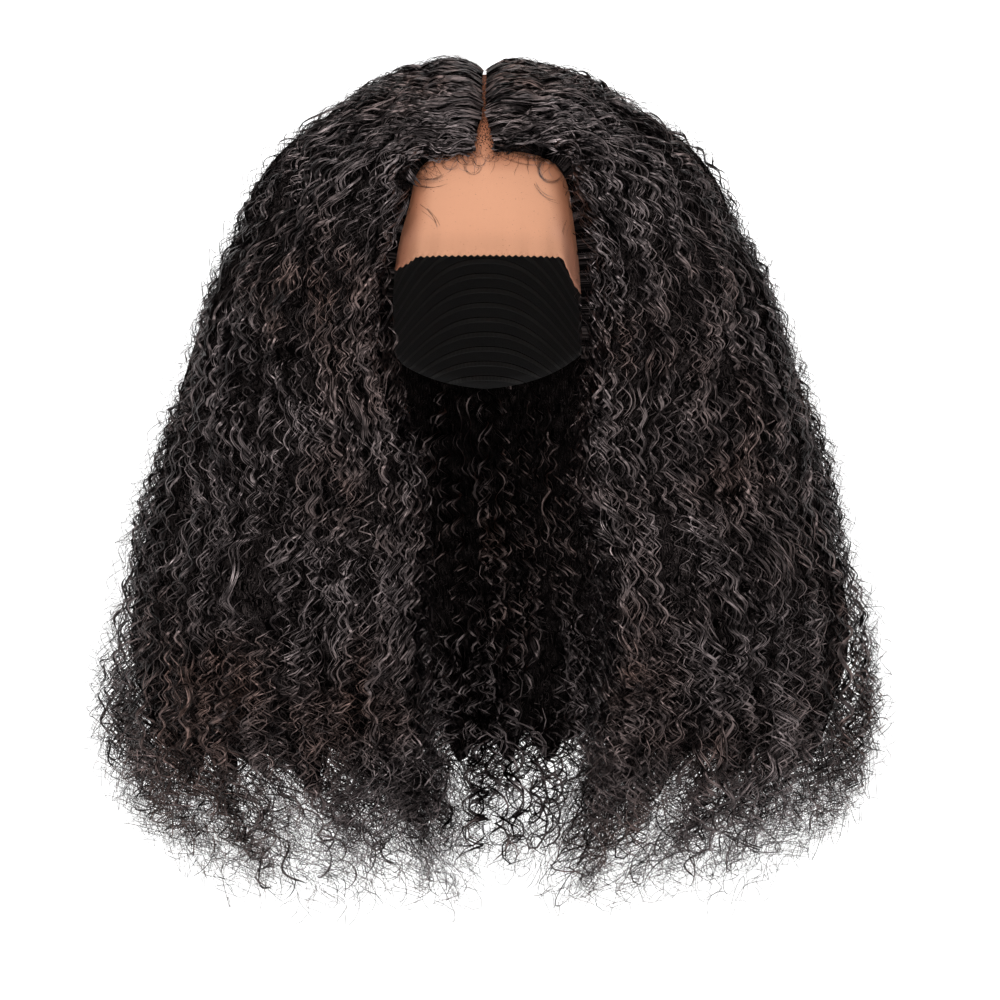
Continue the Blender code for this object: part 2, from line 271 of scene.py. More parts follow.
# Curls of fine hair on the lace: their middles and radii as seen from the front, their start and
# end in degrees, and their number of hairs
BabyCurl = namedtuple("BabyCurl", "x z wide high start end hairs")
BABY_CURLS = (
    BabyCurl(0.0369, -0.0622, 0.0066, 0.0072, 60, 330, 9),
    BabyCurl(0.0258, -0.0263, 0.0290, 0.0290, 235, 296, 8),
    BabyCurl(-0.0061, -0.0605, 0.0046, 0.0050, 170, 390, 3),
    BabyCurl(-0.0022, -0.0575, 0.0034, 0.0040, 180, 380, 3),
    BabyCurl(-0.0094, -0.0560, 0.0036, 0.0038, 160, 380, 4),
    BabyCurl(-0.0184, -0.0585, 0.0040, 0.0034, 150, 370, 5),
    BabyCurl(-0.0290, -0.0520, 0.0190, 0.0170, 235, 300, 9),
    BabyCurl(-0.0497, -0.1017, 0.0223, 0.0223, 52, 4, 4),
    BabyCurl(0.0403, -0.0654, 0.0123, 0.0123, 200, 268, 5),
    BabyCurl(0.0593, -0.0989, 0.0140, 0.0140, 148, 204, 4),
)

# Ribbons: how far they twist to each side and how fast, the points that they widen over, and
# their least width and their range of widths as shares
RIBBON_TWIST = 0.4
RIBBON_TWIST_PITCH = 0.45
RIBBON_TAPERS_OVER = 4
RIBBON_NARROWEST = 0.15
RIBBON_WIDTH_RANGE = (0.7, 1.25)

# Fine hairs on the lace: their points, how high they lie over the head and how far they turn
# from facing outwards
BABY_POINTS = 30
BABY_LIFT = 0.0012
BABY_TURN = 0.3

# Short hairs: where across and how far down they leave the hairline, and the ranges of their
# steps, headings and bends. Those by the parting head further down.
BABY_ACROSS = -0.02
BABY_DOWN = 0.30
BABY_STEP = (0.0002, 0.0006)
BABY_HEADING = (-1.4, 0.2)
PARTING_HEADING = 1.2
PARTING_TO_DOWN = 0.1
BABY_BEND = (-0.06, 0.20)
BABY_WOBBLE = 0.12
BABY_WOBBLE_PITCH = 0.35

# How the hairs of a named curl differ from it
CURL_LENGTH = (0.7, 1.1)
CURL_START_VARIES_DEG = 6
CURL_SIZE_VARIES = 0.10
CURL_GROWTH_VARIES = 0.12
CURL_MIDDLE_VARIES = 0.0006

# Lace
LACE_ENDS_DEG = 80.0
LACE_SEAM_DEG = 88.0
LACE_OFFSET = 0.0004
LACE_THICKNESS = 0.0003
LACE_COLUMNS = 400
LACE_ROWS = 17
LACE_RIPPLE = 0.0011
TOOTH_PITCH = 0.0035
TOOTH_HEIGHT = 0.0012
Edge = namedtuple("Edge", "sideways turn")
LACE_EDGE_DEG = (
    Edge(sideways=-80, turn=-50),
    Edge(sideways=-60, turn=-28),
    Edge(sideways=-46, turn=-11),
    Edge(sideways=-22, turn=2),
    Edge(sideways=26, turn=2),
    Edge(sideways=34, turn=-12),
    Edge(sideways=42, turn=-28),
    Edge(sideways=60, turn=-46),
    Edge(sideways=80, turn=-58),
)
NAPE_EDGE_DEG = (
    Edge(sideways=-80, turn=206),
    Edge(sideways=-40, turn=211),
    Edge(sideways=0, turn=214),
    Edge(sideways=40, turn=211),
    Edge(sideways=80, turn=206),
)


# The lace by the millimetres from its free edge: how light it is, how pink its ends are and how
# much of its middle is the doubled hem
Band = namedtuple("Band", "edge share")
LACE_TONES = (Band(0, 0.86), Band(1.5, 0.80), Band(12, 0.88), Band(24, 0.95))
LACE_PINKS = (Band(0, 1.0), Band(12, 0.8), Band(30, 0.0))
LACE_HEMS = (Band(0, 1.0), Band(10.5, 0.9), Band(11.5, 0.0))
PINK_DARKENS = 0.12

# Net cap
CAP_THICKNESS = 0.0006
CAP_COLUMNS = 60
CAP_ROWS = 46

# Stage: the backdrop's curve, width and height, and each lamp with its size and its share of the
# key light's power
BACKDROP_RADIUS = 0.9
BACKDROP_STEPS = 25
BACKDROP_FRONT = -3.2
BACKDROP_HALF_WIDTH = 4.0
BACKDROP_HEIGHT = 4.5
Lamp = namedtuple("Lamp", "name place size share")
LAMPS = (
    Lamp("key_light", (-1.1, -2.0, 1.0), 1.3, 1.0),
    Lamp("fill_light", (1.5, -1.7, 0.4), 1.4, 0.55),
    Lamp("top_light", (0.1, 0.1, 1.5), 1.2, 0.4),
)
LAMPS_FACE = (0.0, 0.0, -0.25)
CAMERA_PLACE = (0.009, -2.0, -0.247)
SENSOR_WIDTH = 36.0


# Shapes


def head_point(directions, offset):
    """Points in these directions from the head form's middle, this far off its surface."""
    low = directions[..., 2:] < 0
    sides = np.broadcast_to((HEAD_HALF_WIDTH, HEAD_HALF_DEPTH), directions.shape[:-1] + (2,))
    axes = np.concatenate([sides, np.where(low, WIDEST_TO_END, CROWN_TO_WIDEST)], -1)
    reach = (np.abs(directions / axes) ** SQUARENESS).sum(-1, keepdims=True) ** (-1 / SQUARENESS)
    points = directions * reach
    normals = np.sign(points) * np.abs(points / axes) ** (SQUARENESS - 1) / axes
    normals /= np.linalg.norm(normals, axis=-1, keepdims=True)
    return points + offset * normals + HEAD_MIDDLE


def round_head(sideways, turn, offset):
    """Points over the head form, by the angle sideways from the middle plane and the turn about
    the line through the ears: 0 at the forehead, a quarter turn at the crown."""
    directions = np.stack(
        [
            np.sin(sideways),
            -np.cos(sideways) * np.cos(turn),
            np.cos(sideways) * np.sin(turn),
        ],
        -1,
    )
    return head_point(directions, offset)


def edge_turn(edges, sideways):
    """The turn of an edge of the cloth, in radians, at each angle sideways in radians."""
    return np.radians(
        np.interp(np.degrees(sideways), [e.sideways for e in edges], [e.turn for e in edges])
    )


def eased(values, rows):
    """Each value as the mean of this many rows round it, with the end rows repeated."""
    padded = np.pad(values, (rows // 2, rows // 2), "edge")
    return np.convolve(padded, np.ones(rows) / rows, "valid")


def by_down(table, name, down):
    """A column of a table, read at these places down in proportion between its rows."""
    return np.interp(down, [row.down for row in table], [getattr(row, name) for row in table])


def level_values(z):
    """Every column of LEVELS, read at each of these heights and eased between its rows."""
    heights = [-level.z for level in LEVELS]
    columns = [eased(np.interp(-z, heights, column), LEVEL_EASE_ROWS) for column in zip(*LEVELS)]
    return Level(*(column[:, None] for column in columns))


def outline(across, sideways, front, back, edge):
    """A level outline: a squared ellipse, from the front edge round to the back."""
    start = np.arctan2(edge, front)
    angle = start + (math.pi - start) * across
    depth = np.where(np.cos(angle) > 0, front, back)
    reach = (
        np.abs(np.sin(angle) / sideways) ** SQUARENESS + np.abs(np.cos(angle) / depth) ** SQUARENESS
    ) ** (-1 / SQUARENESS)
    return reach * np.sin(angle), -reach * np.cos(angle)


def parting_points(across):
    """Where each lock leaves the parting, from the hairline back over the crown."""
    hairline = round_head(np.zeros(1), np.radians([HAIRLINE_DEG]), 0.0)[0]
    y = hairline[1] + (PARTING_BACK_Y - hairline[1]) * across
    opening = 1 - np.clip((y - hairline[1]) / HAIRLINE_OPENS_OVER, 0, 1)
    x = PARTING_HALF_GAP + (HAIRLINE_HALF_GAP - PARTING_HALF_GAP) * opening
    height = CROWN_TO_WIDEST * (1 - np.abs(y / HEAD_HALF_DEPTH) ** SQUARENESS) ** (1 / SQUARENESS)
    return head_point(np.stack([x, y, height], -1), HAIR_OVER_HEAD + THINNEST_HAIR)


def unit(vectors):
    """These vectors with a length of 1."""
    return vectors / np.maximum(np.linalg.norm(vectors, axis=-1, keepdims=True), 1e-12)


class HairForm:
    """One side's form as grids: its points, its outward and sideways directions, and each
    point's distance down its lock from the parting."""

    def __init__(self, side):
        self.side = side
        across = np.linspace(0, 1, OUTER_COLUMNS + 1)
        outer, inner = self.walls(side, across)
        share = np.linspace(1, 0, EDGE_COLUMNS + 1)[1:-1, None]
        edge = inner[:, :1] * share + outer[:, :1] * (1 - share)
        away = unit(outer[:, :1] - outer[:, 2:3])
        edge = edge + away * EDGE_BULGE * np.sin(math.pi * share)
        wrapped = np.concatenate([inner[:, ::-1], edge, outer], 1)
        along = unit(np.gradient(wrapped, axis=1))
        down = np.gradient(wrapped, axis=0)
        steps = np.linalg.norm(np.diff(wrapped, axis=0, prepend=wrapped[:1]), axis=-1)
        mirror = np.array((side, 1, 1))
        self.points = wrapped * mirror
        self.along = along * mirror
        self.down = unit(down) * mirror
        self.out = -unit(np.cross(along, down)) * mirror
        self.length = np.cumsum(steps, 0)[..., None]
        self.low = -1 - EDGE_SHARE

    def walls(self, side, across):
        """The outer and inner surfaces: level outlines below, and over the head arches from the
        parting as cubic curves with a start outwards and up and an end nearly straight down."""
        z = np.linspace(LEVELS[0].z, LEVELS[-1].z, HANGING_ROWS + 1)
        level = level_values(z)
        reach, edge = (level.left, level.left_edge) if side < 0 else (level.right, level.right_edge)
        x, y = outline(across, reach, level.front, level.back, edge)
        y = y + FRONT_END_ROUND * np.clip(1 - across * LOCKS_PER_SIDE, 0, 1) ** 2
        hanging = np.stack([x, y, z[:, None] + 0 * x], -1)
        x, y = outline(across, level.in_side, level.in_front, level.in_back, edge)
        inner = np.stack([x, y, z[:, None] + 0 * x], -1)
        roots = parting_points(across)
        span = hanging[0] - roots
        length = np.linalg.norm(span, axis=-1, keepdims=True)
        outwards = unit(span * (1, 1, 0))
        lift = ROOT_LIFT * np.clip(across * LOCKS_PER_SIDE / FRONT_LOCKS_FLAT, 0, 1)[:, None]
        up = np.array((0.0, 0.0, 1.0))
        square = 1 + CORNER_SQUARE * np.clip(1 - across * 6, 0, 1)[:, None]
        leaving = length * (0.89 * square * outwards + lift * up)
        arriving = length * (0.32 * outwards / square**2 - 0.82 * square * up)
        t = np.linspace(0, 1, ARCH_ROWS, endpoint=False)[:, None, None]
        arch = (
            (2 * t**3 - 3 * t**2 + 1) * roots
            + (t**3 - 2 * t**2 + t) * leaving
            + (3 * t**2 - 2 * t**3) * hanging[0]
            + (t**3 - t**2) * arriving
        )
        from_middle = arch - HEAD_MIDDLE
        least = head_point(from_middle, HAIR_OVER_HEAD + THINNEST_HAIR)
        reaches = [np.linalg.norm(p - HEAD_MIDDLE, axis=-1, keepdims=True) for p in (arch, least)]
        arch = np.where(reaches[0] < reaches[1], least, arch)
        inner_arch = head_point(from_middle, HAIR_OVER_HEAD)
        ease = np.clip(np.arange(HANGING_ROWS + 1) / 12, 0, 1)[:, None, None]
        from_arch = head_point(hanging - HEAD_MIDDLE, HAIR_OVER_HEAD)
        inner = from_arch * (1 - ease) + inner * ease
        return np.concatenate([arch, hanging]), np.concatenate([inner_arch, inner])

    def read(self, name, across, down):
        """A grid's values at these places, in proportion between the four points round each."""
        grid = getattr(self, name)
        rows, columns = grid.shape[0] - 1, grid.shape[1] - 1
        row = np.clip(down, 0, 1) * rows
        column = np.clip((across - self.low) / (1 - self.low), 0, 1) * columns
        i = np.minimum(row.astype(int), rows - 1)
        j = np.minimum(column.astype(int), columns - 1)
        u, v = (row - i)[..., None], (column - j)[..., None]
        near = grid[i, j] * (1 - v) + grid[i, j + 1] * v
        far = grid[i + 1, j] * (1 - v) + grid[i + 1, j + 1] * v
        return near * (1 - u) + far * u

    def place(self, across, down, over, aside):
        """Points this far over the form and this far to the side. Places past the tips go on
        down, and half of that straight down."""
        past = np.maximum(down - 1, 0)[..., None] * self.read("length", across, np.ones_like(down))
        falling = unit(self.read("down", across, down) + np.array((0.0, 0.0, -1.0)))
        return (
            self.read("points", across, down)
            + self.read("out", across, down) * over[..., None]
            + self.read("along", across, down) * aside[..., None]
            + falling * past
        )


def value_noise(x, y, seed):
    """Noise from -1 to 1: random values on a wrapped square lattice, eased between its corners."""
    size = 64
    lattice = np.random.default_rng(seed).uniform(-1, 1, (size, size))
    i, j = np.floor(x).astype(int), np.floor(y).astype(int)
    u, v = x - i, y - j
    u, v = u * u * (3 - 2 * u), v * v * (3 - 2 * v)
    near = lattice[i % size, j % size] * (1 - u) + lattice[(i + 1) % size, j % size] * u
    far = lattice[i % size, (j + 1) % size] * (1 - u) + lattice[(i + 1) % size, (j + 1) % size] * u
    return near * (1 - v) + far * v


def side_noise(kind, across, length):
    """Noise of one kind over a side, at these places across and distances down."""
    steps_across = across * kind.across + length * kind.lean
    steps_down = length * kind.down + kind.past
    return kind.height * value_noise(steps_across, steps_down, kind.seed)


def lock_height(form, across, down, length):
    """How far the hair stands over the form: a round ridge for each lock, less over half its
    height, with clumps on it, drawn in on top and at the front edge, and diving at the parting."""
    part = np.mod(across * LOCKS_PER_SIDE, 1)
    ridge = 1 - np.abs(2 * part - 1) ** RIDGE_ROUNDNESS
    height = by_down(RIDGES, "height", down) * np.where(across < 0, INNER_RIDGES, 1)
    height = height * (LEAST_RIDGE + side_noise(UNEVEN_RIDGES, across, length))
    rough = side_noise(FINE_CLUMPS, across, length) + side_noise(COARSE_CLUMPS, across, length)
    rough = rough * np.clip(down / ROUGH_FROM_DOWN, 0, 1) - by_down(DRAWN_IN, "top", down)
    at_edge = np.clip(1 - np.abs(across + EDGE_SHARE / 2) / (0.75 * EDGE_SHARE), 0, 1)
    drawn_in = by_down(DRAWN_IN, "left" if form.side < 0 else "right", down)
    dive = ROOT_DIVE * np.exp(-length / ROOT_DIVE_OVER)
    return height * (ridge - RIDGE_DIP) + rough - drawn_in * at_edge - dive


def lock_swing(across, down, length):
    """How far the locks wave to the side: a slow wave that differs from lock to lock."""
    middle = np.clip(np.minimum(across, 1 - across) * 7, 0, 1)
    amount = WAVE_SWING * middle * np.clip((down - 0.08) / 0.25, 0, 1)
    phase = 2 * math.pi * length / WAVE_LENGTH + 1.3 * np.sin(1.7 * across * LOCKS_PER_SIDE)
    return amount * np.sin(phase)


# Meshes and materials

BLACK = (0.0, 0.0, 0.0)
WHITE = (1.0, 1.0, 1.0)
BROWN = (0.150, 0.096, 0.082)

# Hair: its lines across a ribbon's UV map, where a line is lit, its brown patches, and its small
# patches of painted highlight, lit or dull
HAIR_LINES = (1.45, 0.045, 1)
LINE_STOPS = ((0.48, BLACK), (0.58, WHITE))
BROWN_STOPS = ((0.46, BLACK), (0.66, WHITE))
HIGHLIGHT_PATCH_STOPS = ((0.34, BLACK), (0.62, WHITE))
TONE_SHARE = 0.10

# Masses: their lines, where a line is lit, and the turn, bend and width of the lines' waves
MASS_LINES = (2.0, 0.09, 1)
MASS_LINE_STOPS = ((0.50, BLACK), (0.64, WHITE))
MASS_WAVE_TURN = 0.42
MASS_WAVE_BEND = 14.0
MASS_WAVE_WIDTH = 2.2

# Net and lace: the lean and the turns of the threads to a millimetre, how clear the holes are,
# how strong the shadow of the roots and their knots are, and their colours
NET_LEAN = 0.58
NET_TURN = 5.2
HOLE_CLEARNESS = 0.2
SHADOW_SHARE = 0.8
KNOT_SHARE = 0.34
ROOT_SHADOW = (0.30, 0.085, 0.034)
ROOT_KNOT = (0.020, 0.008, 0.005)
KNOT_STOPS = ((0.70, BLACK), (0.80, WHITE))

# Cap: half the way from weft to weft in millimetres, the edge of a weft, and its thread
WEFT_HALF_PITCH = 4.5
WEFT_STOPS = ((0.28, WHITE), (0.36, BLACK))
THREAD_TURN = 3.9


def make_piece(name, vertices, quads, uv, tone, material, **more):
    """A mesh object at the origin, with its UV map and at each vertex a tone from 0 to 1, and more
    such numbers by name."""
    mesh = bpy.data.meshes.new(name)
    mesh.vertices.add(len(vertices))
    mesh.vertices.foreach_set("co", np.asarray(vertices, np.float32).ravel())
    mesh.loops.add(quads.size)
    mesh.loops.foreach_set("vertex_index", quads.astype(np.int32).ravel())
    mesh.polygons.add(len(quads))
    mesh.polygons.foreach_set("loop_start", np.arange(0, quads.size, 4, dtype=np.int32))
    mesh.polygons.foreach_set("use_smooth", np.ones(len(quads), bool))
    mesh.update(calc_edges=True)
    layer = mesh.uv_layers.new(name="UVMap")
    layer.uv.foreach_set("vector", uv[quads.ravel()].astype(np.float32).ravel())
    for key, values in {"tone": tone, **more}.items():
        layer = mesh.attributes.new(key, "FLOAT", "POINT")
        layer.data.foreach_set("value", values.ravel().astype(np.float32))
    mesh.materials.append(material)
    piece = bpy.data.objects.new(name, mesh)
    bpy.context.scene.collection.objects.link(piece)
    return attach(piece, "root")


def grid_quads(rows, columns, start=0):
    """The quads of a grid of numbered vertices."""
    ids = np.arange(rows * columns).reshape(rows, columns) + start
    corners = np.stack([ids[:-1, :-1], ids[:-1, 1:], ids[1:, 1:], ids[1:, :-1]], -1)
    return corners.reshape(-1, 4)


def node(tree, kind, values=None, **options):
    """Adds a node with these options, its inputs set to values or linked to sockets."""
    made = tree.nodes.new(kind)
    for name, value in options.items():
        setattr(made, name, value)
    for name, value in (values or {}).items():
        if isinstance(value, bpy.types.NodeSocket):
            tree.links.new(value, made.inputs[name])
        else:
            made.inputs[name].default_value = value
    return made


def calc(tree, operation, first, second=0.5):
    """The result of a maths node with one or two inputs."""
    return node(tree, "ShaderNodeMath", {0: first, 1: second}, operation=operation).outputs[0]


def stretched(tree, vector, scale):
    """The vector times a scale for each axis."""
    values = {0: vector, 1: scale}
    return node(tree, "ShaderNodeVectorMath", values, operation="MULTIPLY").outputs[0]


def noise(tree, vector, scale=1.0, detail=2.0):
    """A noise texture's value and colour."""
    values = {"Vector": vector, "Scale": scale, "Detail": detail}
    return node(tree, "ShaderNodeTexNoise", values).outputs


def ramp(tree, factor, stops):
    """A colour ramp with these places and linear colours."""
    made = node(tree, "ShaderNodeValToRGB", {"Fac": factor})
    ends = made.color_ramp.elements
    for index, (place, color) in enumerate(stops):
        stop = ends[index] if index < 2 else ends.new(place)
        stop.position = place
        stop.color = (*color, 1)
    return made.outputs["Color"]


def new_material(name):
    """A new material, its node tree and its shader."""
    material = bpy.data.materials.new(name)
    material.use_nodes = True
    return material, material.node_tree, material.node_tree.nodes["Principled BSDF"]


def connect(tree, shader, **inputs):
    """Sets or links the shader's inputs, written with underscores for spaces."""
    for name, value in inputs.items():
        socket = shader.inputs[name.replace("_", " ")]
        if isinstance(value, bpy.types.NodeSocket):
            tree.links.new(value, socket)
        else:
            socket.default_value = value


def hair_color(tree, settings, lines):
    """Black between the lines, as painted shade between hairs, and on them the lit colour, brown in
    wide soft patches, and in small patches duller or lit, as painted highlights."""
    place = node(tree, "ShaderNodeTexCoord").outputs["Object"]
    wide, small = noise(tree, place, 9.0, 3.0)[0], noise(tree, place, 62.0, 2.0)[0]
    lit = mixed(tree, ramp(tree, wide, BROWN_STOPS), settings.lit_color, BROWN)
    # Painted highlight: small patches where the strands are lit, with duller ones between
    lit = mixed(tree, ramp(tree, small, HIGHLIGHT_PATCH_STOPS), settings.dull_color, lit)
    return mixed(tree, ramp(tree, lines, LINE_STOPS), settings.gap_shade_color, lit)


def strand_material(settings):
    """Hair on a ribbon: fine shining lines along it, which light spreads across. The shine takes
    the colour, as on black hair, so it is a metal's, and the gaps between the lines stay black as
    painted shade between hairs."""
    material, tree, shader = new_material("hair_strands")
    uv = node(tree, "ShaderNodeUVMap", uv_map="UVMap").outputs[0]
    lines = noise(tree, stretched(tree, uv, HAIR_LINES), 1.0, 1.0)[0]
    lighter = calc(tree, "MULTIPLY", attribute(tree, "tone"), TONE_SHARE)
    color = hair_color(tree, settings, calc(tree, "ADD", lines, lighter))
    bump = node(tree, "ShaderNodeBump", {"Height": lines, "Strength": 1.0, "Distance": 0.0006})
    tangent = node(tree, "ShaderNodeTangent", direction_type="UV_MAP", uv_map="UVMap").outputs[0]
    connect(tree, shader, Base_Color=color, Roughness=settings.roughness, Normal=bump.outputs[0])
    connect(tree, shader, Anisotropic=0.6, Tangent=tangent, Metallic=1.0)
    return material


def mass_material(settings):
    """Hair on a mass, dull in the dark under the strands: faint lines that bend from side to side,
    with painted shade between them."""
    material, tree, shader = new_material("hair_mass")
    uv = node(tree, "ShaderNodeUVMap", uv_map="UVMap").outputs[0]
    bend = noise(tree, stretched(tree, uv, (0.10, 0.16, 1)), 1.0, 2.0)[0]
    part = node(tree, "ShaderNodeSeparateXYZ", {0: uv}).outputs
    turns = calc(tree, "MULTIPLY", part[1], MASS_WAVE_TURN)
    phase = calc(tree, "ADD", turns, calc(tree, "MULTIPLY", bend, MASS_WAVE_BEND))
    wave = calc(tree, "MULTIPLY", calc(tree, "SINE", phase), MASS_WAVE_WIDTH)
    across = calc(tree, "ADD", part[0], wave)
    bent = node(tree, "ShaderNodeCombineXYZ", {0: across, 1: part[1]}).outputs[0]
    lines = noise(tree, stretched(tree, bent, MASS_LINES), 1.0, 1.0)[0]
    lit = ramp(tree, lines, MASS_LINE_STOPS)
    color = mixed(tree, lit, settings.gap_shade_color, settings.mass_color)
    bump = node(tree, "ShaderNodeBump", {"Height": lines, "Strength": 1.0, "Distance": 0.0012})
    connect(tree, shader, Base_Color=color, Roughness=1.0)
    connect(tree, shader, Normal=bump.outputs[0], Specular_IOR_Level=0.0)
    return material


def mixed(tree, factor, first, second):
    """Two colours mixed, each a socket or linear values."""
    mix = node(tree, "ShaderNodeMix", data_type="RGBA")
    for index, value in ((0, factor), (6, first), (7, second)):
        if isinstance(value, bpy.types.NodeSocket):
            tree.links.new(value, mix.inputs[index])
        else:
            mix.inputs[index].default_value = (*value, 1) if index else value
    return mix.outputs[2]


def net(tree, uv):
    """Net: high in the holes between threads that cross at a slant, 0.6 mm apart."""
    part = node(tree, "ShaderNodeSeparateXYZ", {0: uv}).outputs
    lean = calc(tree, "MULTIPLY", part[1], NET_LEAN)
    weave = []
    for operation in ("ADD", "SUBTRACT"):
        turns = calc(tree, "MULTIPLY", calc(tree, operation, part[0], lean), NET_TURN)
        weave.append(calc(tree, "ABSOLUTE", calc(tree, "SINE", turns)))
    return calc(tree, "MULTIPLY", weave[0], weave[1])


def attribute(tree, name):
    """A number that the mesh has at each vertex, by its name."""
    return node(tree, "ShaderNodeAttribute", attribute_name=name).outputs["Fac"]


def lace_material(settings):
    """Lace: see-through net by its tone, tan with soft patches, darker along its hem and in the
    hair's shade, and specked with knots where the hair is tied to it."""
    material, tree, shader = new_material("lace_net")
    uv = node(tree, "ShaderNodeUVMap", uv_map="UVMap").outputs[0]
    hole = net(tree, uv)
    solid = calc(tree, "SUBTRACT", 1.0, calc(tree, "MULTIPLY", hole, HOLE_CLEARNESS))
    alpha = calc(tree, "MULTIPLY", solid, attribute(tree, "tone"))
    patches = noise(tree, stretched(tree, uv, (0.05, 0.05, 1)), 1.0, 3.0)[0]
    shade = mixed(tree, patches, settings.lace_shade, settings.lace_color)
    shade = mixed(tree, attribute(tree, "pink"), shade, settings.lace_edge)
    shade = mixed(tree, attribute(tree, "hem"), shade, settings.lace_hem)
    # Painted shade: the lace darkens beside the hair's edge and along the parting, with the roots'
    # dark in it
    near = attribute(tree, "roots")
    shadow = calc(tree, "MULTIPLY", calc(tree, "POWER", near, 1.3), SHADOW_SHARE)
    shade = mixed(tree, shadow, shade, ROOT_SHADOW)
    specks = noise(tree, stretched(tree, uv, (1.2, 1.2, 1)), 1.0, 1.0)[0]
    close = calc(tree, "POWER", attribute(tree, "knots"), 2.5)
    level = calc(tree, "ADD", specks, calc(tree, "MULTIPLY", close, KNOT_SHARE))
    knots = ramp(tree, level, KNOT_STOPS)
    shade = mixed(tree, knots, shade, ROOT_KNOT)
    bump = node(tree, "ShaderNodeBump", {"Height": hole, "Strength": 0.25, "Distance": 0.0002})
    connect(tree, shader, Base_Color=shade, Alpha=alpha, Roughness=0.8, Normal=bump.outputs[0])
    connect(tree, shader, Specular_IOR_Level=0.2)
    return material


def cap_material(settings):
    """Cap: black net with rows of sewn wefts 9 mm apart, each a raised band of close thread,
    painted lighter along its turns as a sheen.
    """
    material, tree, shader = new_material("cap_net")
    uv = node(tree, "ShaderNodeUVMap", uv_map="UVMap").outputs[0]
    part = node(tree, "ShaderNodeSeparateXYZ", {0: uv}).outputs
    row = calc(tree, "PINGPONG", part[1], WEFT_HALF_PITCH)
    weft = ramp(tree, calc(tree, "DIVIDE", row, WEFT_HALF_PITCH), WEFT_STOPS)
    turns = calc(tree, "MULTIPLY", part[0], THREAD_TURN)
    thread = calc(tree, "ABSOLUTE", calc(tree, "SINE", turns))
    hole = net(tree, uv)
    bare = mixed(tree, hole, settings.cap_color, BLACK)
    # Painted sheen: the weft's thread lighter than the net, darker and lighter turn by turn
    sewn = mixed(tree, thread, [0.5 * c for c in settings.cap_color], settings.weft_sheen_color)
    height = mixed(tree, weft, hole, thread)
    bump = node(tree, "ShaderNodeBump", {"Height": height, "Strength": 0.6, "Distance": 0.0006})
    raised = {"Height": weft, "Strength": 1.0, "Distance": 0.0010, "Normal": bump.outputs[0]}
    bump = node(tree, "ShaderNodeBump", raised)
    connect(tree, shader, Base_Color=mixed(tree, weft, bare, sewn), Normal=bump.outputs[0])
    connect(tree, shader, Roughness=0.6, Specular_IOR_Level=0.5)
    return material


def stage_material(color):
    """Matt paper that glows a little of itself, so that it stays pale."""
    material, tree, shader = new_material("stage_paper")
    connect(tree, shader, Base_Color=(*color, 1), Roughness=0.9, Specular_IOR_Level=0.1)
    connect(tree, shader, Emission_Color=(1, 1, 1, 1), Emission_Strength=0.60)
    return material


# Hair


def section_range(index):
    """Where a section starts and ends across its side."""
    ends = np.cumsum([0] + [section.locks for section in SECTIONS]) / LOCKS_PER_SIDE
    return ends[index], ends[index + 1]


def mass_mesh(form, start, end, settings):
    """A section's dark mass: its form drawn in under the strands, further towards the tips, where
    the outer and inner faces nearly meet, and closed along its edges."""
    columns = int(round((end - start) * LOCKS_PER_SIDE)) * MASS_COLUMNS_PER_LOCK + 1
    rows = MASS_ROWS
    across = np.linspace(start, end, columns) + np.zeros((rows, 1))
    longer = np.interp(across[0], [e.across for e in MASS_ENDS], [e.longer for e in MASS_ENDS])
    ends = settings.mass_end + longer + side_noise(RAGGED_ENDS, across[0], 0 * across[0])
    down = np.linspace(0, 1, rows)[:, None] * ends
    length = form.read("length", across, down)[..., 0]
    inset = by_down(MASS_INSETS, "depth", down)
    over = lock_height(form, across, down, length) - inset
    outer = form.place(across, down, over, lock_swing(across, down, length))
    inner_across = -EDGE_SHARE - across
    inner = form.place(inner_across, down, -INNER_INSET * inset, np.zeros_like(down))
    close_over = (MASS_CLOSES_FROM, settings.mass_end)
    close = np.interp(down, close_over, (0, MASS_CLOSES_BY))[..., None] ** 1.5
    outer, inner = outer * (1 - close) + inner * close, inner * (1 - close) + outer * close
    vertices = np.concatenate([outer.reshape(-1, 3), inner.reshape(-1, 3)])
    count = rows * columns
    quads = grid_quads(rows, columns)
    ring = np.arange(count).reshape(rows, columns)
    rim = np.concatenate([ring[:-1, 0], ring[-1, :-1], ring[:0:-1, -1], ring[0, :0:-1]])
    after = np.roll(rim, -1)
    edge = np.stack([rim, rim + count, after + count, after], -1)
    quads = np.concatenate([quads, quads[:, ::-1] + count, edge[:, ::-1]])
    if form.side < 0:
        quads = quads[:, ::-1]
    uv = np.stack([across * MASS_UV_WIDTH, length * 1000], -1).reshape(-1, 2)
    return vertices, quads, np.tile(uv, (2, 1))


def shared(kind, rng, low, high):
    """A random value for each strand of a kind, the same for all of a clump."""
    return np.repeat(rng.uniform(low, high, (kind.count // kind.clump, 1)), kind.clump, 0)


